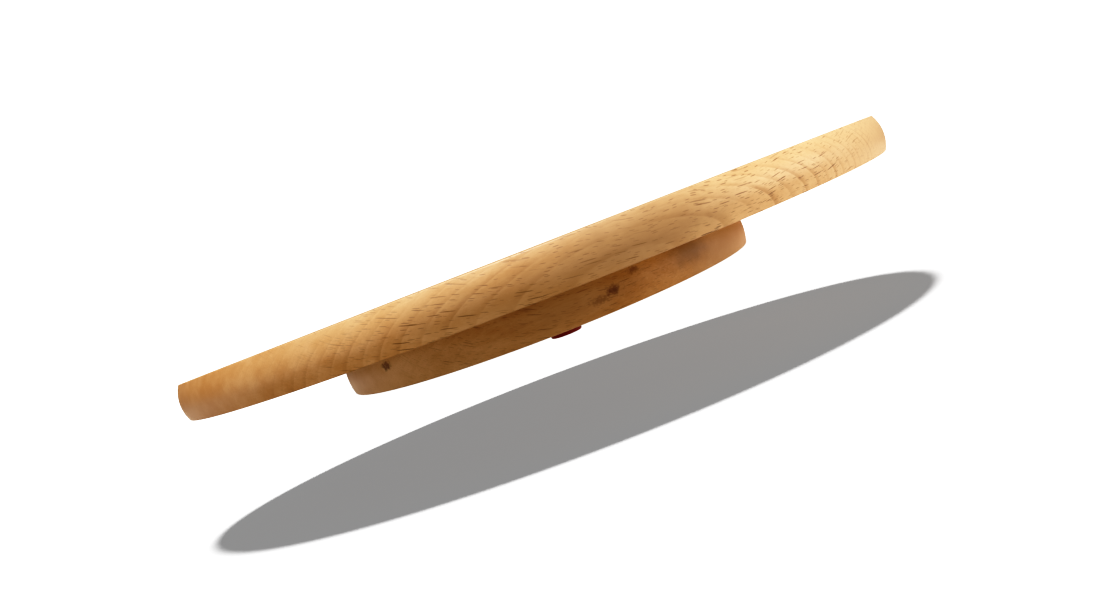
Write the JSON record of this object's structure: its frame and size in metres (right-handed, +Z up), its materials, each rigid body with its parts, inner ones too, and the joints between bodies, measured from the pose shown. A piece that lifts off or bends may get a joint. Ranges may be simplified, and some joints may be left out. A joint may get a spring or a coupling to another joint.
{
  "type": "lazy susan turntable",
  "caption": "Round wooden serving turntable: a wide bow-edged plate on a let-in ring bearing, over a smaller round base with rubber pads.",
  "frame": {"origin": "on the turning axis, level with the undersides of the feet", "axes": "+Z up along the turning axis; -Y is the front, +X to the right seen from the front"},
  "size_m": [0.4, 0.4, 0.043],
  "materials": {
    "beech_plate": "clear satin lacquer",
    "beech_base": "clear satin lacquer",
    "foot_rubber": "matt, moulded",
    "adhesive_foam": "matt",
    "bearing_aluminium": "machined",
    "ball_steel": "polished",
    "cage_nylon": "matt",
    "screw_steel": "zinc plated"
  },
  "bodies": {
    "base": {"base_board_1": "beech_base", "base_board_2": "beech_base", "base_board_3": "beech_base", "foot_pad_1": "foot_rubber", "foot_pad_2": "foot_rubber", "foot_pad_3": "foot_rubber", "foot_pad_4": "foot_rubber", "foot_adhesive_1": "adhesive_foam", "foot_adhesive_2": "adhesive_foam", "foot_adhesive_3": "adhesive_foam", "foot_adhesive_4": "adhesive_foam", "bearing_outer_ring": "bearing_aluminium", "ball_loading_plug": "bearing_aluminium", "outer_ring_screws": "screw_steel"},
    "turntable": {"top_board_1": "beech_plate", "top_board_2": "beech_plate", "top_board_3": "beech_plate", "top_board_4": "beech_plate", "top_board_5": "beech_plate", "bearing_inner_ring": "bearing_aluminium", "inner_ring_screws": "screw_steel"},
    "ball_set": {"bearing_balls": "ball_steel", "ball_cage": "cage_nylon"}
  },
  "joints": [
    {"name": "turntable_spin", "type": "hinge", "parent": "base", "child": "turntable", "pos_m": [0, 0, 0.02075], "axis": [0, 0, 1], "continuous": true},
    {"name": "ball_set_roll", "type": "hinge", "parent": "base", "child": "ball_set", "pos_m": [0, 0, 0.02075], "axis": [0, 0, 1], "continuous": true}
  ],
  "couplings": [
    {"joint": "ball_set_roll", "follows": "turntable_spin", "ratio": 0.4807}
  ]
}
